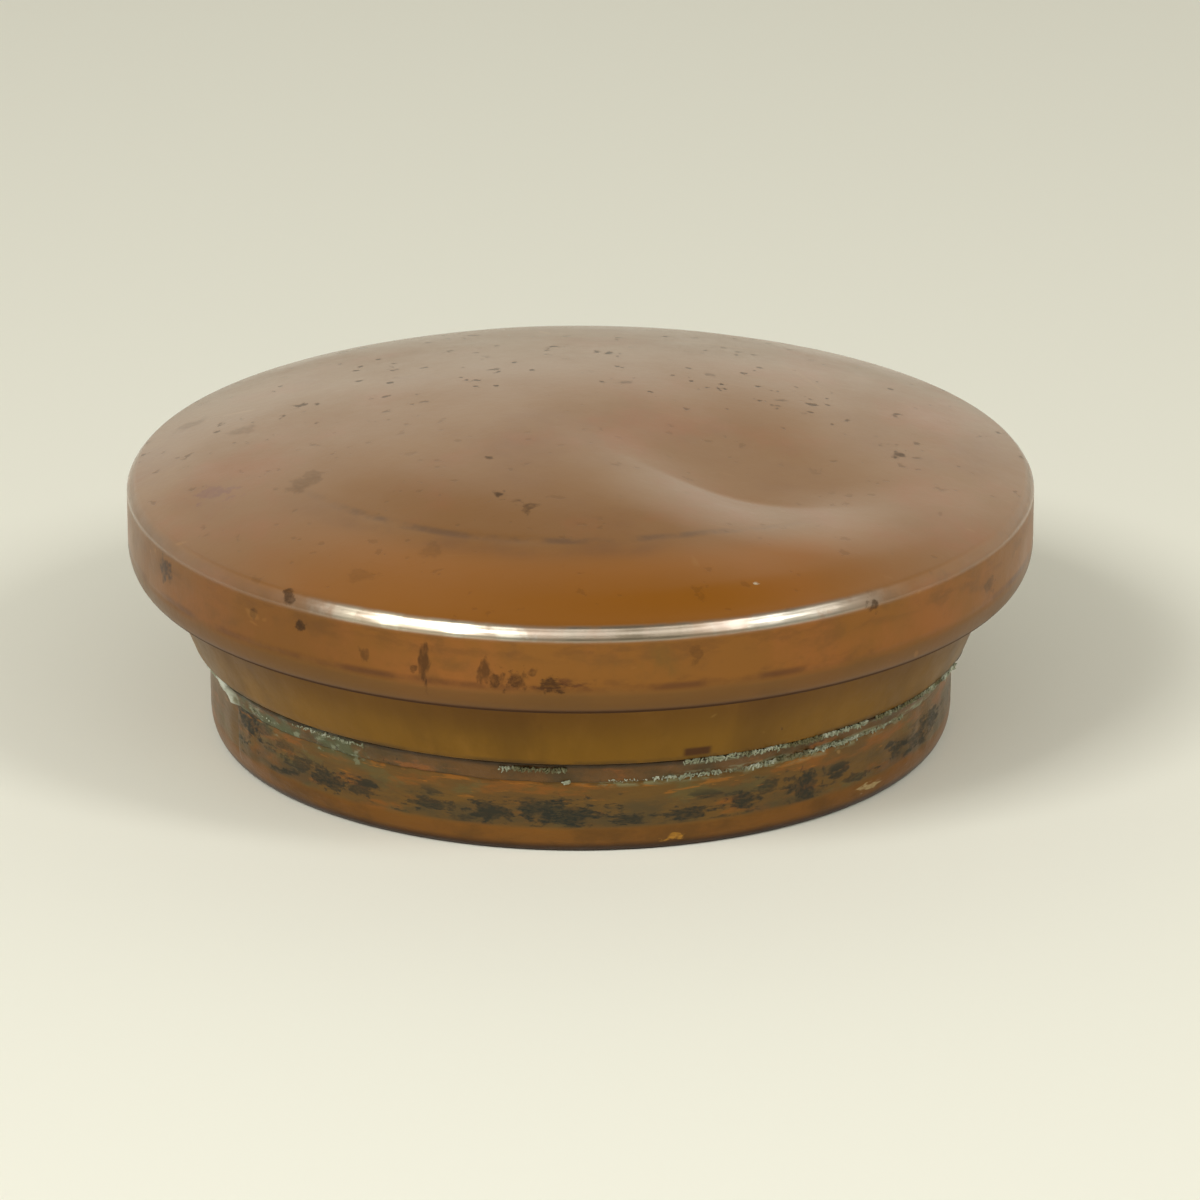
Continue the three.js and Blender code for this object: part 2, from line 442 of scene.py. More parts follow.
class Finish(Graph):
    """A metal finish under construction: colour, roughness and relief for one shader."""

    def __init__(self, name, base, metallic, coat, coat_roughness, coat_ior=1.5):
        self.material = bpy.data.materials.new(name)
        self.material.use_nodes = True
        super().__init__(self.material.node_tree)
        self.shader = self.tree.nodes["Principled BSDF"]
        self.join(self.shader, {
            "Metallic": metallic, "Coat Weight": coat, "Coat Roughness": coat_roughness,
            "Coat IOR": coat_ior, "Specular IOR Level": BARE_GLOSS})
        self.place = self.node("ShaderNodeTexCoord", {}).outputs["Object"]
        self.azimuth, self.radius, self.height = self.effect(PLACE, {"Vector": self.place})
        self.tint = colour(*base)

    def clouds(self, scale, low, high, shift=0.0, upright=1.0):
        inputs = {"Scale": scale, "Low": low, "High": high, "Shift": shift, "Upright": upright}
        return self.effect(CLOUDS, {"Vector": self.place, **inputs})[0]

    def varied(self, least, most, *clouds):
        """A value that wanders between two levels in soft clouds."""
        return self.remap(self.clouds(*clouds), 0, 1, least, most)

    def pits(self, scale, size, share, shift=0.0):
        inputs = {"Scale": scale, "Size": size, "Share": share, "Shift": shift}
        return self.effect(PITS, {"Vector": self.place, **inputs})[0]

    def scratches(self, scale, turn, low, shift=0.0):
        inputs = {"Scale": scale, "Turn": turn, "Low": low, "Shift": shift}
        return self.effect(SCRATCHES, {"Vector": self.place, **inputs})[0]

    def around(self, value, middle, half, edge):
        return self.effect(BAND, {"Value": value, "Middle": middle, "Half": half, "Edge": edge})[0]

    def facing(self, middle, half, edge):
        return self.around(self.azimuth, middle, half, edge)

    def level(self, middle, half, edge):
        return self.around(self.height, middle, half, edge)

    def above(self, low, high, *values):
        return self.remap(self.height, low, high, *values)

    def spot(self, azimuths, heights):
        """1 within a stretch round the box and up its side, each given as middle, half and edge."""
        return self.times(self.facing(*azimuths), self.level(*heights))

    def stain(self, azimuth, radius, height, size, upright=1.0):
        turn = math.radians(azimuth)
        centre = (radius * MM * math.sin(turn), -radius * MM * math.cos(turn), height * MM)
        inputs = {"Centre": centre, "Radius": size * MM, "Upright": upright}
        return self.effect(STAIN, {"Vector": self.place, **inputs})[0]

    def lay(self, over, *shares):
        """Lays a display colour over what is there already, as far as all the shares allow."""
        self.tint = self.paint(self.tint, self.times(*shares), colour(*over))

    def done(self, roughness, relief, depth):
        """Sets the roughness, and a relief that is depth millimetres high."""
        self.join(self.shader, {"Base Color": self.tint, "Roughness": roughness})
        bump = self.node("ShaderNodeBump", {"Height": relief, "Distance": depth * MM, "Strength": 1.0})
        self.join(self.shader, {"Normal": bump.outputs[0]})
        return self.material


# Finishes

def dome_height(radius):
    sphere = (LID_RADIUS ** 2 + DOME_RISE ** 2) / (2 * DOME_RISE)
    return CROWN - sphere + math.sqrt(sphere ** 2 - radius ** 2)


# Stains on the dome: azimuth, radius, size, strength
DOME_STAINS = [
    (81.2, 23.6, 1.0, 0.75),
    (84.9, 22.7, 0.8, 0.6),
    (88.0, 24.2, 0.5, 0.5),
    (-29.4, 13.5, 0.4, 0.8),
    (-18.4, 18.5, 0.5, 0.8),
    (-10.7, 19.7, 0.7, 0.6),
    (99.6, 15.5, 0.9, 0.7),
    (97.0, 16.6, 0.6, 0.6),
    (-93.0, 25.5, 1.0, 0.3),
    (-103.0, 30.0, 1.2, 0.3),
    (-59.4, 23.6, 1.3, 0.35),
    (-61.5, 22.4, 0.9, 0.3),
    (-24.0, 26.4, 0.8, 0.2),
    (-31.5, 30.3, 1.0, 0.2),
    (-148, 19.0, 0.5, 0.7),
    (-151, 14.0, 0.6, 0.7),
    (-170, 15.8, 0.6, 0.7),
    (180, 6.0, 0.6, 0.6),
    (141, 4.7, 0.7, 0.6),
    (105, 9.0, 0.6, 0.6),
    (150, 17.0, 0.5, 0.6),
    (128, 12.5, 0.8, 0.5),
]

# Stains on the skirt of the lid: azimuth, height, size, how much wider than high, strength
SKIRT_STAINS = [
    (-63.3, 17.5, 0.75, 0.8, 0.9),
    (-38.2, 19.4, 0.8, 1.0, 0.8),
    (-36.3, 17.4, 0.5, 1.0, 0.9),
    (38.9, 18.7, 0.55, 1.0, 0.8),
    (-44.0, 17.2, 0.4, 1.0, 0.6),
    (-19.2, 16.8, 0.5, 0.35, 0.75),
    (-20.4, 15.9, 0.4, 1.2, 0.6),
    (-27.0, 16.4, 0.4, 0.7, 0.5),
    (-11.4, 16.3, 0.55, 0.5, 0.7),
    (-10.2, 15.5, 0.55, 0.7, 0.75),
    (-7.6, 15.7, 0.9, 1.1, 0.8),
    (-5.6, 16.3, 0.5, 0.9, 0.6),
    (-3.2, 15.4, 1.0, 2.0, 0.85),
    (14.0, 17.6, 0.6, 0.9, 0.35),
    (62.0, 16.4, 0.9, 1.5, 0.5),
]

# Dark patches on the foot: azimuth, height, size, how much wider than high, strength
FOOT_PATCHES = [
    (-60.5, 5.2, 2.0, 1.3, 0.95),
    (-56.0, 4.9, 1.6, 2.2, 0.6),
    (-51.0, 4.4, 1.6, 3.0, 0.5),
    (-47.5, 3.4, 1.4, 2.4, 0.75),
    (-41.0, 3.0, 1.9, 2.2, 0.9),
    (-35.0, 3.1, 1.4, 2.0, 0.75),
    (-22.8, 3.1, 1.9, 3.6, 0.8),
    (-13.4, 3.1, 1.6, 1.9, 0.9),
    (-6.5, 3.5, 1.6, 2.4, 0.8),
    (-2.2, 3.0, 3.2, 2.8, 0.97),
    (7.8, 2.6, 1.4, 3.2, 0.85),
    (16.5, 2.7, 2.0, 3.2, 0.9),
    (25.3, 3.2, 1.5, 1.9, 0.9),
    (29.5, 3.9, 1.4, 2.2, 0.7),
    (36.3, 2.9, 1.4, 1.0, 0.9),
    (46.0, 2.6, 1.2, 2.6, 0.7),
    (57.2, 3.1, 1.2, 1.9, 0.85),
    (62.8, 3.1, 1.6, 2.8, 0.85),
    (68.8, 3.6, 1.9, 2.2, 0.85),
]

# Places on the foot rubbed to bright copper: azimuth, height, size, how much wider than high
FOOT_RUBS = [
    (-30.2, 6.0, 1.0, 1.8),
    (-18.7, 5.4, 1.4, 7.0),
    (-8.8, 5.5, 1.7, 7.0),
    (21.0, 5.0, 1.3, 6.0),
    (33.0, 5.2, 1.2, 5.0),
]


def lid_copper():
    """Brown copper under a clear gloss: painted brighter orange outside the ring mark on the front of
    the dome, painted shade along the ring mark, the lip and the lid's lower edge, a painted highlight
    on the front of the shoulder, stained and pitted.
    """
    finish = Finish("lid_copper", (138, 88, 22), 0.3, 1.0, 0.24, 1.86)
    finish.lay((142, 94, 34), finish.clouds(50, 0.42, 0.66))
    finish.lay((128, 76, 22), finish.clouds(85, 0.5, 0.72, 3.1), 0.6)
    on_dome = finish.above(SHOULDER_HEIGHT - 0.4, SHOULDER_HEIGHT + 0.5)
    on_skirt = finish.without(on_dome)

    finish.lay((152, 82, 18), on_dome, finish.clouds(80, 0.5, 0.68, 5.5), 0.55)
    # Painted light: outside the ring mark the front of the dome is painted a brighter orange, making up
    # for the dark overhead that it reflects.
    outer_dome = finish.remap(finish.radius, RING_MARK_RADIUS - 0.3, RING_MARK_RADIUS + 4)
    finish.lay((160, 97, 14), on_dome, outer_dome, finish.facing(0, 24, 36), 0.85)
    # Painted shade: a dark line along the ring-mark groove on the front of the dome, with a softer
    # painted shadow just outside it.
    ring = finish.around(finish.radius, RING_MARK_RADIUS, 0.1, 0.5)
    front = finish.facing(-8, 30, 26)
    finish.lay((96, 60, 28), on_dome, ring, front, finish.clouds(260, 0.4, 0.6, 7.7), 0.65)
    beside = finish.around(finish.radius, RING_MARK_RADIUS + 0.9, 0.3, 1.6)
    finish.lay((112, 66, 26), on_dome, beside, front, finish.clouds(120, 0.46, 0.64, 1.2), 0.35)

    finish.lay((134, 86, 29), on_skirt, 0.85)
    finish.lay((150, 91, 38), on_skirt, finish.clouds(110, 0.45, 0.65, 2.6), 0.7)
    finish.lay((112, 74, 30), on_skirt, finish.clouds(240, 0.48, 0.68, 1.3, 1.6), 0.6)
    finish.lay((104, 66, 24), on_skirt, finish.facing(-56, 18, 22), 0.4)
    below = finish.level(SHOULDER_HEIGHT - 1.5, 0.3, 0.8)
    finish.lay((104, 66, 26), below, finish.clouds(300, 0.46, 0.62, 5.1, 3.0), 0.4)
    # Painted shade: the lip curling under the skirt faces down and is painted darker and greyer.
    lip = finish.above(LIP_TOP + 0.5, LIP_TOP - 0.6)
    finish.lay((106, 74, 34), lip, 0.75)
    crease = finish.level(LIP_TOP + 0.2, 0.05, 0.4)
    finish.lay((92, 54, 22), crease, finish.clouds(170, 0.4, 0.6, 4.0), 0.75)
    # Painted shade: the lowest edge of the lid, facing down over the wall, is painted near black.
    under = finish.above(LID_BOTTOM + 0.6, LID_BOTTOM + 0.2)
    finish.lay((62, 34, 14), under, 0.85)

    smear = finish.spot((-4.5, 4.5, 4), (15.5, 0.15, 0.6))
    finish.lay((84, 46, 18), smear, finish.clouds(520, 0.44, 0.6, 3.7, 2.2), 0.8)
    streak = finish.spot((16, 14, 10), (15.5, 0.1, 0.5))
    finish.lay((92, 52, 20), streak, finish.clouds(380, 0.48, 0.64, 8.8, 2.6), 0.3)
    olive = finish.spot((7, 3, 5), (17, 0.6, 1.4))
    finish.lay((104, 78, 30), olive, finish.clouds(260, 0.42, 0.6, 6.6, 0.7), 0.6)

    # Painted highlight: pale paint on the front of the shoulder bevel, brightest at azimuth -20 and
    # duller at azimuth 7, where the lamps show; the bevel is also made fully metallic as a worn edge.
    bevel = finish.times(
        finish.spot((2, 25, 20), (SHOULDER_HEIGHT - 0.25, 0.3, 0.3)),
        finish.remap(finish.radius, LID_RADIUS - 1.2, LID_RADIUS - 0.6),
        finish.varied(0.5, 1.0, 380, 0.38, 0.6, 4.7))
    finish.lay((180, 173, 158), bevel, 0.95)
    finish.lay((222, 212, 186), bevel, finish.facing(-20, 5, 10), 0.8)
    finish.lay((124, 104, 74), bevel, finish.facing(7, 5, 11), 0.8)
    finish.join(finish.shader, {"Metallic": finish.remap(bevel, 0, 1, 0.3, 1.0)})

    dirt = 0.0
    for azimuth, radius, size, strength in DOME_STAINS:
        stain = finish.stain(azimuth, radius, dome_height(radius), size)
        dirt = finish.most(dirt, finish.times(stain, strength))
    for azimuth, height, size, upright, strength in SKIRT_STAINS:
        stain = finish.stain(azimuth, LID_RADIUS, height, size, upright)
        dirt = finish.most(dirt, finish.times(stain, strength))
    finish.lay((118, 56, 32), finish.stain(-69.7, 28.7, dome_height(28.7), 1.4), 0.75)
    finish.lay((220, 208, 180), finish.stain(24.5, 30.5, dome_height(30.5), 0.3), 0.9)

    at_back = finish.remap(finish.calc("ABSOLUTE", finish.azimuth), 60, 120, 0.25, 1.0)
    grouped = finish.clouds(110, 0.3, 0.46, 8.3)
    fine_pits = finish.most(finish.pits(470, 0.17, 0.46), finish.pits(760, 0.22, 0.42, 0.3))
    pits = finish.times(on_dome, at_back, grouped, fine_pits)
    dirt = finish.most(dirt, finish.times(pits, 0.8))
    finish.lay((60, 38, 18), dirt)
    strokes = finish.most(finish.scratches(800, 8, 0.72), finish.scratches(700, 70, 0.74, 5.0))
    finish.lay((176, 124, 60), strokes, 0.2)

    hidden = finish.node("ShaderNodeAttribute", {}, attribute_name="inside").outputs["Fac"]
    dull = finish.clouds(120, 0.45, 0.62, 9.0)
    inner_tone = finish.paint(colour(120, 74, 38), dull, colour(88, 58, 32))
    finish.tint = finish.paint(finish.tint, hidden, inner_tone)

    kept_gloss = finish.above(SHOULDER_HEIGHT - 1.0, SHOULDER_HEIGHT - 0.6, 0.1, 1.0)
    clean = finish.without(finish.most(hidden, under, finish.times(dirt, 0.95)))
    mottled = finish.varied(0.85, 1.0, 85, 0.36, 0.64, 3.9)
    finish.join(finish.shader, {"Coat Weight": finish.times(kept_gloss, clean, mottled)})
    bare = finish.varied(0.3, 0.42, 75, 0.35, 0.7, 2.2)
    worn = finish.times(bare, finish.remap(bevel, 0, 1, 1.0, 1.15))
    roughness = finish.most(worn, finish.times(under, 0.8))
    relief = finish.calc("SUBTRACT", finish.clouds(700, 0.3, 0.7, 6.0), finish.times(pits, 3.0))
    return finish.done(roughness, relief, 0.008)


def aged_brass():
    """Smooth olive-gold brass, browner along the seam, with painted shade under the lid."""
    finish = Finish("aged_brass", (131, 92, 20), 0.45, 0.06, 0.2)
    finish.lay((114, 79, 17), finish.clouds(110, 0.42, 0.66, 0.0, 0.2))
    finish.lay((146, 104, 34), finish.clouds(240, 0.52, 0.7, 2.0, 0.4), 0.5)
    # Painted shade: the top of the wall, under the lid's overhang, is painted darker and browner.
    painted_lid_shadow = finish.above(WALL_TOP - 4.4, WALL_TOP - 0.8)
    finish.lay((96, 56, 16), painted_lid_shadow, 0.45)
    at_seam = finish.above(SEAM_HEIGHT + 0.5, SEAM_HEIGHT + 0.1)
    finish.lay((80, 58, 22), at_seam, finish.clouds(200, 0.4, 0.6, 5.0), 0.7)
    outer_face = finish.remap(finish.radius, WALL_RADIUS - 0.2, WALL_RADIUS - 0.05)
    finish.lay((74, 40, 14), finish.spot((16.8, 1.5, 0.9), (8.1, 0.2, 0.3)), outer_face, 0.9)
    specks = finish.pits(480, 0.1, 0.15)
    finish.lay((74, 50, 20), specks, 0.6)
    finish.lay((180, 146, 74), finish.scratches(800, 20, 0.73), 0.25)
    roughness = finish.varied(0.32, 0.46, 180, 0.3, 0.7, 4.0)
    relief = finish.calc("SUBTRACT", finish.clouds(600, 0.3, 0.7, 6.0), specks)
    return finish.done(roughness, relief, 0.01)


def worn_copper():
    """Worn copper strip: streaked brown, broken black patina half way up, a rubbed edge below."""
    finish = Finish("worn_copper", (112, 82, 38), 0.35, 0.1, 0.22)
    finish.lay((104, 76, 38), finish.clouds(170, 0.4, 0.62, 0.0, 3.5))
    finish.lay((138, 86, 34), finish.clouds(240, 0.5, 0.64, 1.7, 4.0), 0.8)
    finish.lay((100, 92, 54), finish.clouds(220, 0.54, 0.66, 8.1, 2.5), 0.6)
    on_left = finish.facing(-48, 12, 6)
    green = finish.times(on_left, finish.above(4.4, 5.4))
    finish.lay((84, 86, 56), green, finish.clouds(420, 0.4, 0.58, 9.3, 1.5), 0.8)
    finish.lay((138, 144, 116), green, finish.clouds(900, 0.58, 0.66, 2.9, 1.5), 0.6)

    half_way = finish.level(3.1, 0.5, 1.3)
    belt = finish.times(half_way, finish.above(1.85, 2.15))
    past_lap = finish.remap(finish.azimuth, LAP_AZIMUTH - 0.4, LAP_AZIMUTH + 0.2)
    worn_side = finish.most(past_lap, finish.remap(finish.azimuth, -110, -120))
    finish.lay((80, 68, 44), belt, worn_side, finish.clouds(170, 0.42, 0.6, 3.3, 2.6), 0.8)
    dark = finish.times(belt, finish.clouds(300, 0.54, 0.62, 6.1, 3.0), 0.85)
    for azimuth, height, size, upright, strength in FOOT_PATCHES:
        patch = finish.stain(azimuth, FOOT_RADIUS, height, size, upright)
        dark = finish.most(dark, finish.times(patch, strength))
    streaked = finish.varied(0.6, 1.0, 360, 0.34, 0.48, 1.1, 5.0)
    dark = finish.times(dark, finish.above(1.9, 2.15), worn_side, streaked)
    finish.lay((42, 44, 37), dark)

    lip = finish.above(FOOT_LIP_HEIGHT + 0.25, FOOT_LIP_HEIGHT - 0.2)
    finish.lay((124, 80, 28), lip, 0.9)
    finish.lay((94, 64, 26), lip, finish.clouds(220, 0.46, 0.66, 2.0, 1.5), 0.7)
    # Painted shade: the bottom of the foot, curling under onto the table, is painted near black.
    painted_contact_shade = finish.above(0.95, 0.3)
    finish.lay((42, 24, 12), painted_contact_shade, 0.85)
    finish.lay((196, 140, 50), finish.stain(14.0, FOOT_RADIUS - 0.2, 1.0, 0.55, 2.0), 0.7)
    finish.lay((190, 170, 120), finish.stain(50.0, FOOT_RADIUS - 0.1, 1.3, 1.1, 4.0), 0.8)

    streaks = finish.clouds(330, 0.58, 0.66, 4.4, 7.0)
    rubbed = finish.times(streaks, finish.level(4.9, 0.6, 0.9))
    for azimuth, height, size, upright in FOOT_RUBS:
        rubbed = finish.most(rubbed, finish.stain(azimuth, FOOT_RADIUS + 0.1, height, size, upright))
    finish.lay((160, 102, 36), rubbed, 0.7)
    hazed = finish.spot((30, 26, 5), (SEAM_FOOT - 0.1, 0.1, 0.4))
    finish.lay((140, 142, 108), hazed, finish.clouds(620, 0.46, 0.6, 6.9, 3.5), 0.7)
    finish.lay((190, 150, 90), finish.scratches(900, 40, 0.74), 0.3)
    roughness = finish.remap(dark, 0, 1, 0.36, 0.55)
    relief = finish.calc("ADD", finish.clouds(380, 0.3, 0.7, 7.0, 3.0), finish.times(dark, 0.5))
    return finish.done(roughness, relief, 0.03)


def dull_copper():
    """Plain tarnished copper for the wires and the floor."""
    finish = Finish("dull_copper", (118, 76, 44), 0.5, 0.1, 0.3)
    finish.lay((92, 62, 38), finish.clouds(110, 0.42, 0.62))
    finish.lay((60, 44, 32), finish.pits(380, 0.2, 0.15), 0.7)
    finish.lay((166, 118, 80), finish.scratches(600, 30, 0.7), 0.3)
    roughness = finish.varied(0.4, 0.6, 150, 0.3, 0.7, 4.0)
    return finish.done(roughness, finish.clouds(500, 0.3, 0.7, 6.0), 0.02)


def old_solder():
    """Brown tarnished solder, gone green on the left, with grey-green crust and a painted white
    reflection beside the lap.
    """
    finish = Finish("old_solder", (112, 78, 38), 0.3, 0.3, 0.3)
    finish.lay((88, 68, 38), finish.clouds(230, 0.4, 0.6, 0.0, 1.5))
    finish.lay((150, 92, 40), finish.clouds(260, 0.56, 0.66, 2.0, 3.0), 0.7)
    left = finish.facing(-48, 12, 6)
    finish.lay((88, 94, 64), left, finish.clouds(420, 0.38, 0.56, 3.0, 1.5), 0.9)
    finish.lay((150, 156, 132), left, finish.clouds(900, 0.54, 0.62, 2.9, 1.5), 0.6)
    right = finish.facing(44, 28, 5)
    levels = (SEAM_HEIGHT - 0.3, SEAM_FOOT + 0.25)
    high, low = (finish.level(middle, 0.1, 0.3) for middle in levels)
    streaks = finish.clouds(620, 0.44, 0.58, 6.9, 3.5)
    finish.lay((146, 152, 122), right, finish.most(high, low), streaks, 0.75)
    # Grey-green crust in the wedge beside the lap, with a painted white reflection over it.
    wedge = finish.facing(LAP_AZIMUTH - 4.2, 3.0, 3.4)
    finish.lay((150, 154, 128), wedge, finish.clouds(460, 0.3, 0.44, 2.4), 0.9)
    finish.lay((210, 214, 202), wedge, finish.clouds(620, 0.38, 0.5, 5.0), 0.95)
    # Painted shade: the crevice under the wall's lower edge is painted dark, except in the wedge.
    crevice = finish.above(SEAM_HEIGHT - 0.65, SEAM_HEIGHT - 0.25)
    finish.lay((48, 36, 18), crevice, finish.without(wedge), 0.8)
    finish.lay((58, 48, 28), finish.pits(800, 0.25, 0.25), 0.7)
    roughness = finish.varied(0.45, 0.7, 300, 0.3, 0.7, 8.0)
    return finish.done(roughness, finish.clouds(1100, 0.3, 0.7, 6.0), 0.04)


def pale_crust():
    """Dry green-white corrosion."""
    finish = Finish("pale_crust", (148, 152, 128), 0.0, 0.0, 0.5)
    finish.lay((190, 194, 176), finish.clouds(420, 0.46, 0.62))
    finish.lay((104, 98, 66), finish.clouds(360, 0.48, 0.58, 4.0), 0.9)
    roughness = finish.varied(0.7, 0.9, 300, 0.3, 0.7, 8.0)
    return finish.done(roughness, finish.clouds(1600, 0.3, 0.7, 6.0), 0.04)


# Lid pieces

def dent(across, toward):
    """Height of the dent and of the lip in front of it."""
    side = across - DENT_ACROSS
    behind = DENT_TOWARD + DENT_SLANT * side - DENT_BEND * side ** 2 - toward
    span = bell(side, np.where(side < 0, DENT_LEFT, DENT_RIGHT))
    rise = bell(np.maximum(behind - DENT_WALL / 2, 0), DENT_REACH)
    down = np.clip(behind / DENT_WALL + 0.5, 0, 1)
    creased = down ** 2 * (1.5 - 0.5 * down)
    crisp = bell(side - DENT_CRISP_PLACE, DENT_CRISP_HALF)
    drop = (crisp * creased + (1 - crisp) * step_up(behind / DENT_WALL, -0.5, 0.9)) * rise
    return span * (DENT_LIP * bell(behind + DENT_WALL, DENT_WALL) - DENT_DEPTH * drop)


def swelling(across, toward, middle_across, middle_toward, length, width, turn, rise):
    """Height of one long low swelling or hollow."""
    turn = math.radians(turn)
    side, ahead = across - middle_across, toward - middle_toward
    along = (math.cos(turn) * side + math.sin(turn) * ahead) / length
    beside = (math.cos(turn) * ahead - math.sin(turn) * side) / width
    return rise * bell(np.hypot(along, beside), 1)


def crown_relief(azimuth, radius):
    """Height of the dome's dents, lips and marks above its true curve."""
    across, toward = radius * np.sin(azimuth), radius * np.cos(azimuth)
    slow = sum(swelling(across, toward, *row) for row in SWELLINGS)
    faint = RING_MARK_DEPTH * (0.7 + 0.5 * lumps(azimuth, 8, 5))
    ring = -faint * bell(radius - RING_MARK_RADIUS, 0.4) * between(azimuth, -50, 34, 12)
    pressed = -PRESSED_DEPTH * step_up(radius, 30.5, 21)
    uneven = 0.025 * np.sin(across / 4.6 + 0.7) * np.cos(toward / 3.9)
    uneven = uneven + 0.012 * np.sin(across / 2.1 - toward / 2.9)
    return (dent(across, toward) + slow + ring + pressed + uneven) * step_up(radius, 33, 30)


def lid_shape(azimuth, radius, height):
    on_dome = step_up(height, SHOULDER_HEIGHT - 0.8, SHOULDER_HEIGHT + 0.5)
    on_skirt = (1 - on_dome) * step_up(radius, LID_RADIUS - 0.3, LID_RADIUS - 0.1)
    crease = LIP_CREASE * bell(height - LIP_TOP, 0.18) * (0.6 + 0.4 * lumps(azimuth, 2, 6))
    out_of_round = ripple(azimuth, (0.02, 2, 0.4), (0.015, 3, 1.9), (0.008, 7, 0.2)) - 0.035
    knocks = 0.012 * np.abs(lumps(azimuth, 3, 5)) * bell(height - 16.5, 2)
    wobble = 0.014 * lumps(azimuth, 9, 2) + 0.01 * lumps(azimuth, 10, 0.8)
    rubbed = wobble * bell(height - SHOULDER_HEIGHT + 0.2, 0.25)
    outside = step_up(radius, LID_RADIUS - 0.75, LID_RADIUS - 0.65)
    bent = radius + out_of_round * step_up(radius, 20, 33)
    return (bent - on_skirt * (crease + knocks) + outside * rubbed,
            height + on_dome * crown_relief(azimuth, radius))


def lid_crown():
    roll_radius, roll_height, wire = ring_of("lid_edge_wire")
    roll = (roll_radius, roll_height)
    roll_in = wire / 2 + WIRE_PLAY
    sphere = (LID_RADIUS ** 2 + DOME_RISE ** 2) / (2 * DOME_RISE)
    middle = (0, CROWN - sphere)
    tilt = math.radians(BEVEL_TILT)
    side = LID_RADIUS - BEVEL_LENGTH * math.sin(tilt) - SHOULDER_RADIUS * math.cos(tilt)
    above = math.sqrt((sphere - SHOULDER_RADIUS) ** 2 - side ** 2)
    shoulder = (side, middle[1] + above)
    meet = math.degrees(math.atan2(above, side))
    crease = shoulder[1] + SHOULDER_RADIUS * math.sin(tilt) - BEVEL_LENGTH * math.cos(tilt)

    def face(inset, dome_steps, shoulder_steps):
        over = arc(shoulder, SHOULDER_RADIUS - inset, BEVEL_TILT, meet, shoulder_steps)
        corner = (LID_RADIUS - inset, crease - inset * math.tan(tilt / 2))
        turn = bow((corner[0], corner[1] - BEVEL_ROUND), corner, line(corner, over[0], 4)[1], 4)
        halfway = line(turn[-1], over[0], 2)[1]
        bulge = (halfway[0] + BEVEL_BULGE * math.cos(tilt), halfway[1] + BEVEL_BULGE * math.sin(tilt))
        dome = arc(middle, sphere - inset, meet, 90, dome_steps)
        bevel = bow(turn[-1], bulge, over[0], 6)[1:-1]
        return turn + bevel + over + dome[1:-1] + [(0, middle[1] + sphere - inset)]

    inner = face(COPPER_SHEET, 50, 4)[::-1]
    inner += line(inner[-1], (LID_RADIUS - COPPER_SHEET, LIP_TOP), 8)[1:]
    hook = arc(roll, roll_in, 0, ROLL_END, 18)
    curl = arc(roll, roll_in + COPPER_SHEET, ROLL_END, -100, 14)
    lip = oval((LID_RADIUS - LIP_DEPTH, LIP_TOP), LIP_DEPTH, LIP_HEIGHT, -84, 0, 22)
    skirt = line((LID_RADIUS, LIP_TOP), (LID_RADIUS, crease - BEVEL_ROUND), 22)[1:-1]
    upper = face(0, 100, 10)
    hidden = [1] * (len(inner) + len(hook)) + [0] * (len(curl) + len(lip) + len(skirt) + len(upper))
    return turned("lid_crown_sheet", inner + hook + curl + lip + skirt + upper, lid_shape, hidden)


# Box pieces

def wall_shape(azimuth, radius, height):
    return radius + ripple(azimuth, (0.02, 2, 1.1), (0.015, 5, 0.3), (0.008, 11, 2.0)) - 0.03, height


def flared_wall():
    low = node_span("flared_wall")[0].z
    mouth = MOUTH_RADIUS - BRASS_SHEET
    flare = (mouth - WALL_RADIUS) / (WALL_TOP - BRASS_SHEET - SEAM_HEIGHT)
    across = BRASS_SHEET * math.hypot(1, flare)
    collar = TUCK_RADIUS - BRASS_SHEET
    step_top = SEAM_HEIGHT + BRASS_SHEET
    ledge_bottom = WALL_TOP - BRASS_SHEET
    outline = [
        (collar, low), (TUCK_RADIUS, low), (TUCK_RADIUS, SEAM_HEIGHT), (WALL_RADIUS, SEAM_HEIGHT),
        (mouth, ledge_bottom), (LEDGE_RADIUS, ledge_bottom), (LEDGE_RADIUS, WALL_TOP),
        (WALL_RADIUS + flare * (WALL_TOP - SEAM_HEIGHT) - across, WALL_TOP),
        (WALL_RADIUS + flare * BRASS_SHEET - across, step_top), (collar, step_top)]
    return turned("flared_wall_sheet", divided(rounded(outline, CORNER_ROUND), 0.6), wall_shape)


def mouth_ring():
    low, high = node_span("mouth_ring")
    inner = MOUTH_RADIUS - BRASS_SHEET
    outline = [(inner, low.z), (MOUTH_RADIUS, low.z), (MOUTH_RADIUS, high.z), (inner, high.z)]
    return turned("mouth_ring_strip", divided(rounded(outline, 0.22), 0.6), wall_shape)


def lap(azimuth):
    """How far the overlapping end of the foot's strip stands out."""
    past = (np.degrees(azimuth) - LAP_AZIMUTH) % 360
    return LAP_STEP * np.clip(1 - past / LAP_SPREAD, 0, 1)


def foot_shape(azimuth, radius, height):
    outside = step_up(radius, FOOT_RADIUS - 0.4, FOOT_RADIUS - 0.1) * step_up(height, 0.9, 2.2)
    worn = ripple(azimuth, (0.03, 2, 0.2), (0.02, 3, 2.2), (0.012, 7, 0.9)) - 0.05
    knocks = 0.03 * lumps(azimuth, 4, 4) * bell(height - 3.4, 1.3) + 0.02 * lumps(azimuth, 5, 2.5)
    crease = -0.04 * bell(height - FOOT_LIP_HEIGHT - 0.1, 0.16) * (0.6 + 0.4 * lumps(azimuth, 6, 7))
    return radius + worn + outside * (lap(azimuth) + knocks + crease), np.maximum(height, 0)


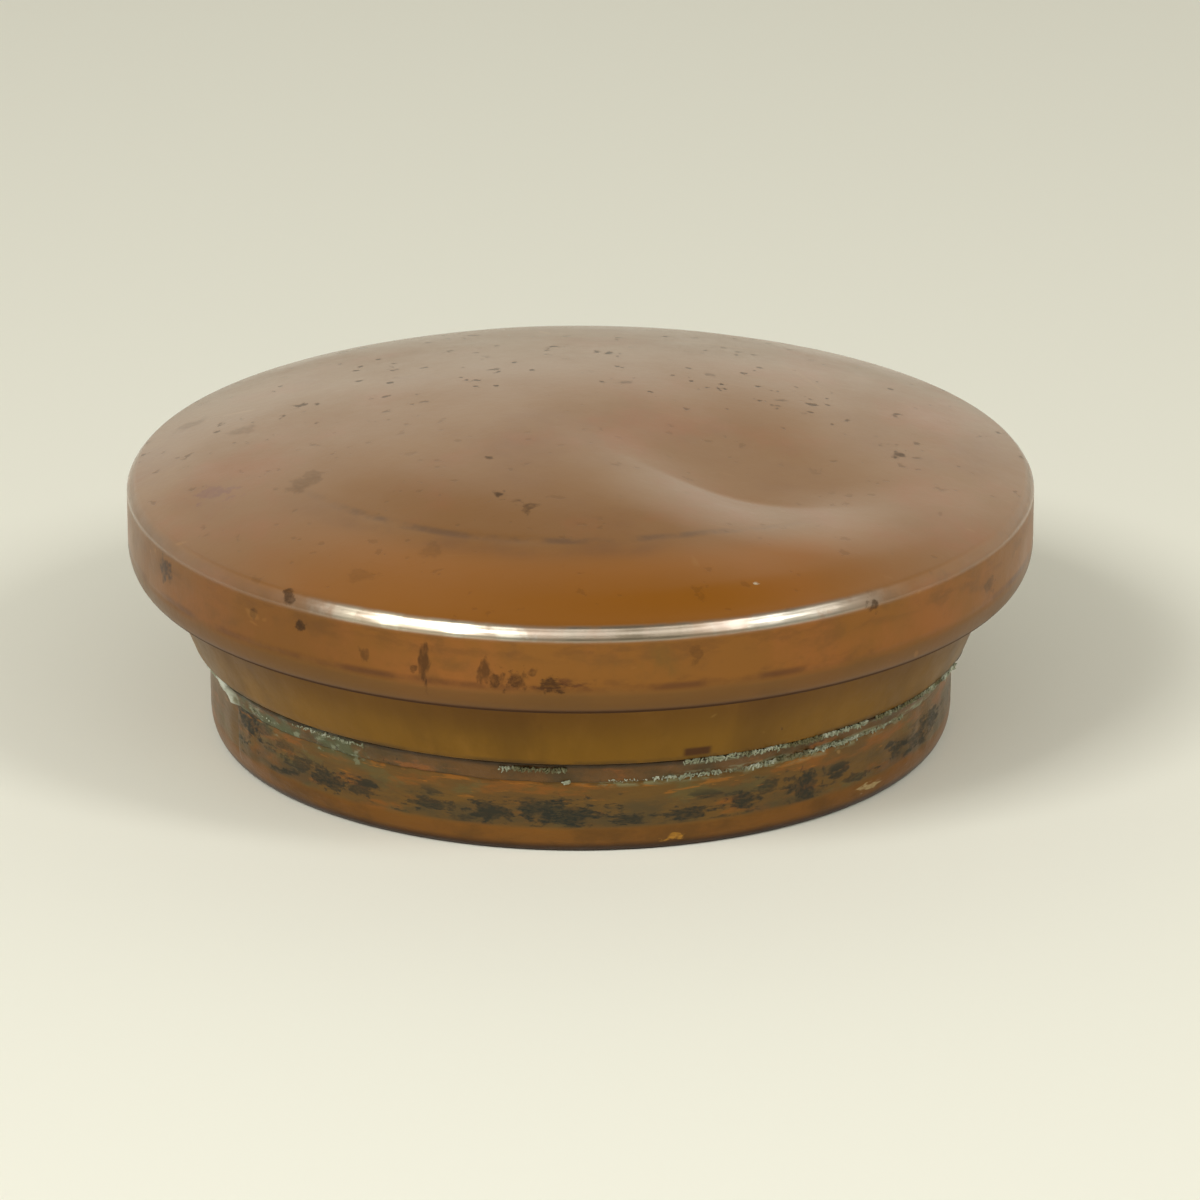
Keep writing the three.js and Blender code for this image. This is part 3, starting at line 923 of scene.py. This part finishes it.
def foot_band():
    high = node_span("foot_band")[1].z
    roll_radius, roll_height, wire = ring_of("foot_edge_wire")
    roll = (roll_radius, roll_height)
    roll_in = wire / 2 + WIRE_PLAY
    bore = FOOT_RADIUS - COPPER_SHEET
    inner = line((bore, high), (bore, FOOT_LIP_HEIGHT), 6)
    hook = arc(roll, roll_in, 0, ROLL_END, 18)
    curl = arc(roll, roll_in + COPPER_SHEET, ROLL_END, -120, 12)
    lip_middle = (FOOT_RADIUS - FOOT_LIP_DEPTH, FOOT_LIP_HEIGHT)
    lip = oval(lip_middle, FOOT_LIP_DEPTH, FOOT_LIP_HEIGHT, -88, 0, 16)
    side = line((FOOT_RADIUS, FOOT_LIP_HEIGHT), (FOOT_RADIUS, high), 24)[1:]
    section = inner + hook + curl + lip + side
    return turned("foot_band_strip", section, foot_shape, steps=FINE_ROUND_STEPS)


def seam_solder():
    top = SEAM_HEIGHT - SEAT_GAP
    inner, outer = FOOT_RADIUS + 0.03, WALL_RADIUS - 0.12
    face = bow((inner + 0.06, SEAM_FOOT), (inner + 0.3, top - 0.75), (outer, top - 0.12), 14)
    section = [(inner, SEAM_FOOT)] + face + [(outer - 0.1, top)]
    section += line((outer - 0.3, top), (inner, top), 3)
    section += line((inner, top), (inner, SEAM_FOOT), 4)[1:-1]

    def flowed(azimuth, radius, height):
        on_face = step_up(radius, inner, inner + 0.05)
        lapped = lap(azimuth) * on_face * step_up(radius, outer, inner)
        swell = 0.05 * lumps(azimuth, 11, 1.5) + 0.06 * lumps(azimuth, 12, 6)
        shrunk = 0.28 * between(azimuth, -42, 10, 6) * step_up(height, SEAM_FOOT + 0.5, top)
        toward_lap = step_up((np.degrees(azimuth) + 180) % 360 - 180, LAP_AZIMUTH - 10, LAP_AZIMUTH)
        caked = 0.32 + 0.08 * lumps(azimuth, 13, 0.9)
        full = caked * toward_lap * between(azimuth, LAP_AZIMUTH - 10, LAP_AZIMUTH - 0.6, 2.2)
        moved = radius + on_face * (swell - shrunk + full) + lapped
        return np.clip(moved, inner, WALL_RADIUS - 0.06), height
    return turned("seam_solder_fillet", section, flowed, steps=FINE_ROUND_STEPS)


def floor_plate():
    low, high = node_span("floor_plate")
    edge = TUCK_RADIUS - 0.02
    bottom = line((0, low.z), (edge - 0.1, low.z), 30)
    top = line((edge - 0.1, high.z), (0, high.z), 30)

    def beaten(azimuth, radius, height):
        across, toward = radius * np.sin(azimuth), -radius * np.cos(azimuth)
        hollow = 0.06 * (1 + np.sin(across / 3.1) * np.cos(toward / 3.7))
        return radius, height - hollow * (height > low.z + 0.3)
    rim = [(edge, low.z + 0.1), (edge, high.z - 0.1)]
    return turned("floor_plate_disc", bottom + rim + top, beaten)


def floor_solder():
    low, high = node_span("floor_solder")
    outer = high.x - 0.02
    outline = [(outer - 0.68, low.z), (outer, low.z), (outer, high.z), (outer - 0.33, low.z + 0.25)]

    def flowed(azimuth, radius, height):
        return radius - 0.06 * np.abs(lumps(azimuth, 21, 3)) * step_up(outer - radius, 0, 0.3), height
    return turned("floor_solder_fillet", divided(rounded(outline, 0.08), 0.2), flowed)


# Wires and crust, grown by node trees

NUMBER, WHOLE = "NodeSocketFloat", "NodeSocketInt"


def geometry_tree(name, inputs):
    """A geometry tree with named inputs: its graph, its entry outputs and its exit inputs."""
    tree = bpy.data.node_groups.new(name, "GeometryNodeTree")
    tree.interface.new_socket(name="Geometry", in_out="INPUT", socket_type="NodeSocketGeometry")
    tree.interface.new_socket(name="Geometry", in_out="OUTPUT", socket_type="NodeSocketGeometry")
    for label, kind in inputs.items():
        tree.interface.new_socket(name=label, in_out="INPUT", socket_type=kind)
    tree.interface.new_socket(name="Material", in_out="INPUT", socket_type="NodeSocketMaterial")
    entry = tree.nodes.new("NodeGroupInput").outputs
    leave = tree.nodes.new("NodeGroupOutput").inputs
    return Graph(tree), entry, leave


def close_tree(graph, entry, leave, grown_part):
    """Ends a tree: what came in and what has grown, as real geometry with its material."""
    both = graph.node("GeometryNodeJoinGeometry", {})
    for part in (entry["Geometry"], grown_part):
        graph.tree.links.new(part, both.inputs[0])
    solid = graph.node("GeometryNodeRealizeInstances", {"Geometry": both.outputs[0]}).outputs[0]
    dressed = graph.node("GeometryNodeSetMaterial", {"Geometry": solid, "Material": entry["Material"]})
    graph.tree.links.new(dressed.outputs[0], leave[0])
    return graph.tree


def grown(name, tree, *runs):
    """A plain mesh piece grown by a tree that runs once for each set of input values."""
    holder = shown(name + "_holder", bpy.data.meshes.new(name + "_holder"))
    inputs = [item for item in tree.interface.items_tree if item.in_out == "INPUT"]
    identifiers = {item.name: item.identifier for item in inputs}
    for values in runs:
        modifier = holder.modifiers.new("grow", "NODES")
        modifier.node_group = tree
        for label, value in values.items():
            modifier[identifiers[label]] = value
    depsgraph = bpy.context.evaluated_depsgraph_get()
    mesh = bpy.data.meshes.new_from_object(holder.evaluated_get(depsgraph))
    mesh.name = name
    mesh.shade_smooth()
    holder.modifiers.clear()
    bpy.data.objects.remove(holder)
    return shown(name, mesh)


def wire_tree():
    """A round wire bent into a level ring."""
    sizes = {
        "Ring Radius": NUMBER, "Height": NUMBER, "Wire Radius": NUMBER, "Steps": WHOLE, "Sides": WHOLE}
    graph, entry, leave = geometry_tree("ring_wire", sizes)
    circle = "GeometryNodeCurvePrimitiveCircle"
    ring = graph.node(circle, {"Resolution": entry["Steps"], "Radius": entry["Ring Radius"]})
    lift = graph.triple(0.0, 0.0, entry["Height"])
    level = graph.node("GeometryNodeSetPosition", {"Geometry": ring.outputs["Curve"], "Offset": lift})
    profile = graph.node(circle, {"Resolution": entry["Sides"], "Radius": entry["Wire Radius"]})
    wire = graph.node("GeometryNodeCurveToMesh", {
        "Curve": level.outputs[0], "Profile Curve": profile.outputs["Curve"]})
    return close_tree(graph, entry, leave, wire.outputs[0])


def edge_wire(name, node, material):
    radius, height, thick = ring_of(node)
    return grown(name, WIRE_TREE, {
        "Ring Radius": radius * MM, "Height": height * MM, "Wire Radius": thick / 2 * MM,
        "Steps": WIRE_STEPS, "Sides": WIRE_SIDES, "Material": material})


def crust_tree():
    """Small uneven crumbs strewn along part of a level circle."""
    sizes = {"Ring Radius": NUMBER, "Height": NUMBER, "Start": NUMBER, "Sweep": NUMBER, "Count": WHOLE,
             "Crumb Size": NUMBER, "Spread": NUMBER, "Seed": WHOLE}
    graph, entry, leave = geometry_tree("crust_line", sizes)

    def chance(low, high):
        values = {0: low, 1: high, "Seed": entry["Seed"]}
        return graph.node("FunctionNodeRandomValue", values, data_type="FLOAT_VECTOR").outputs[0]

    def evenly(size):
        return graph.triple(size, size, size)

    path = graph.node("GeometryNodeCurveArc", {
        "Resolution": 64, "Radius": entry["Ring Radius"],
        "Start Angle": entry["Start"], "Sweep Angle": entry["Sweep"]})
    dots = graph.node("GeometryNodeCurveToPoints", {
        "Curve": path.outputs["Curve"], "Count": entry["Count"]})
    stray = graph.vector("MULTIPLY", chance((-1, -1, -1), (1, 1, 1)), evenly(entry["Spread"]))
    place = graph.vector("ADD", stray, graph.triple(0.0, 0.0, entry["Height"]))
    moved = graph.node("GeometryNodeSetPosition", {"Geometry": dots.outputs[0], "Offset": place})
    crumb = graph.node("GeometryNodeMeshIcoSphere", {"Radius": 1.0, "Subdivisions": 2})
    uneven = chance((0.2, 0.2, 0.2), (1.9, 1.0, 0.7))
    size = graph.vector("MULTIPLY", uneven, evenly(entry["Crumb Size"]))
    strewn = graph.node("GeometryNodeInstanceOnPoints", {
        "Points": moved.outputs[0], "Instance": crumb.outputs["Mesh"],
        "Rotation": chance((0, 0, 0), (6.3, 6.3, 6.3)), "Scale": size})
    return close_tree(graph, entry, leave, strewn.outputs[0])


# Lines of crust: radius, height, first and last azimuth, crumbs, their size, how far they stray
CRUST_LINES = [
    (WALL_RADIUS - 0.12, SEAM_HEIGHT - 0.16, 15, 46, 260, 0.16, 0.12),
    (WALL_RADIUS - 0.12, SEAM_HEIGHT - 0.16, 48, 73, 190, 0.15, 0.11),
    (FOOT_RADIUS + 0.12, SEAM_FOOT + 0.1, 3, 10, 40, 0.1, 0.09),
    (FOOT_RADIUS + 0.14, SEAM_FOOT + 0.12, 11, 30, 180, 0.16, 0.13),
    (FOOT_RADIUS + 0.12, SEAM_FOOT + 0.2, 30, 57, 200, 0.15, 0.12),
    (FOOT_RADIUS + 0.7, SEAM_HEIGHT - 0.62, -11.5, -2, 100, 0.15, 0.14),
    (FOOT_RADIUS + 0.8, SEAM_HEIGHT - 0.5, -47, -33, 44, 0.12, 0.1),
    (FOOT_RADIUS + 0.35, SEAM_FOOT + 0.5, -61, -53, 24, 0.13, 0.14),
    (FOOT_RADIUS + 0.2, SEAM_FOOT, -2.4, -1.6, 4, 0.2, 0.05),
]


def seam_crust(material):
    runs = []
    for seed, (radius, height, start, stop, count, size, spread) in enumerate(CRUST_LINES):
        runs.append({
            "Ring Radius": radius * MM, "Height": height * MM, "Start": math.radians(start - 90),
            "Sweep": math.radians(stop - start), "Count": count, "Crumb Size": size * MM,
            "Spread": spread * MM, "Seed": seed, "Material": material})
    return grown("seam_crust", crust_tree(), *runs)


# The object
WIRE_TREE = wire_tree()
copper, brass, worn = lid_copper(), aged_brass(), worn_copper()
plain, solder, crust = dull_copper(), old_solder(), pale_crust()
dress(lid_crown(), "lid", "lid_copper", copper, "lid_crown")
dress(edge_wire("lid_wire", "lid_edge_wire", plain), "lid", "wire_copper", plain, "lid_edge_wire")
dress(flared_wall(), "box", "brass", brass, "flared_wall")
dress(mouth_ring(), "box", "brass", brass, "mouth_ring")
dress(foot_band(), "box", "foot_copper", worn, "foot_band")
dress(edge_wire("foot_wire", "foot_edge_wire", plain), "box", "wire_copper", plain, "foot_edge_wire")
dress(seam_solder(), "box", "solder", solder, "seam_solder")
dress(seam_crust(crust), "box", "solder", crust)
dress(floor_plate(), "box", "foot_copper", plain, "floor_plate")
dress(floor_solder(), "box", "solder", solder, "floor_solder")


# Stage, in metres
FLOOR_REACH = 3.0
LAMP_DISTANCE = 0.8
LAMP_COLOUR = (1.0, 0.995, 0.97)
ROOM_BEHIND = 0.76
ROOM_IN_FRONT = 0.3
ROOM_OVERHEAD = 0.02


def floor():
    mesh = bpy.data.meshes.new("floor")
    reach = FLOOR_REACH
    corners = [(-reach, -reach, 0), (reach, -reach, 0), (reach, reach, 0), (-reach, reach, 0)]
    mesh.from_pydata(corners, [], [(0, 1, 2, 3)])
    pale = bpy.data.materials.new("pale_floor")
    pale.use_nodes = True
    looks = {"Base Color": colour(240, 239, 226), "Roughness": 0.9}
    Graph(pale.node_tree).join(pale.node_tree.nodes["Principled BSDF"], looks)
    mesh.materials.append(pale)
    shown("floor", mesh)


def soft_lamp(name, azimuth, elevation, width, height, brightness):
    """A soft lamp that faces the box from LAMP_DISTANCE. Its sizes are in metres."""
    turn, rise = math.radians(azimuth), math.radians(elevation)
    toward = Vector((math.sin(turn) * math.cos(rise), -math.cos(turn) * math.cos(rise), math.sin(rise)))
    data = bpy.data.lights.new(name, "AREA")
    data.shape = "RECTANGLE"
    data.size, data.size_y = width, height
    data.color = LAMP_COLOUR
    data.energy = brightness * math.pi * width * height
    lamp = bpy.data.objects.new(name, data)
    lamp.location = toward * LAMP_DISTANCE
    lamp.rotation_euler = toward.to_track_quat("Z", "Y").to_euler()
    bpy.context.scene.collection.objects.link(lamp)


def room_light():
    """A pale surround, brightest behind the box, and dim overhead."""
    world = bpy.data.worlds.new("room")
    world.use_nodes = True
    graph = Graph(world.node_tree)
    direction = graph.node("ShaderNodeTexCoord", {}).outputs["Generated"]
    parts = graph.node("ShaderNodeSeparateXYZ", {0: direction}).outputs
    around = graph.remap(parts["Y"], -0.4, 0.4, ROOM_IN_FRONT, ROOM_BEHIND)
    level = graph.remap(parts["Z"], 0.4, 1.0, around, ROOM_OVERHEAD)
    graph.join(world.node_tree.nodes["Background"], {"Strength": level, "Color": (1.0, 0.96, 0.8, 1)})
    bpy.context.scene.world = world


def camera():
    data = bpy.data.cameras.new("camera")
    data.sensor_width = SENSOR_WIDTH
    data.lens = SENSOR_WIDTH * FOCAL_PIXELS / FRAME_PIXELS
    data.clip_start = 0.01
    viewer = bpy.data.objects.new("camera", data)
    rise = math.radians(VIEW_ELEVATION)
    back = Vector((0, -math.cos(rise), math.sin(rise)))
    viewer.location = (Vector(AIM_POINT) + back * VIEW_DISTANCE) * MM
    viewer.rotation_euler = back.to_track_quat("Z", "Y").to_euler()
    bpy.context.scene.collection.objects.link(viewer)
    bpy.context.scene.camera = viewer


floor()
soft_lamp("left_lamp", -44, 44, 0.32, 0.22, 14)
soft_lamp("right_lamp", 55, 43, 0.18, 0.22, 13)
soft_lamp("front_lamp", 6, 49, 0.9, 0.22, 2.65)
room_light()
camera()
bpy.context.scene.view_settings.view_transform = "Standard"
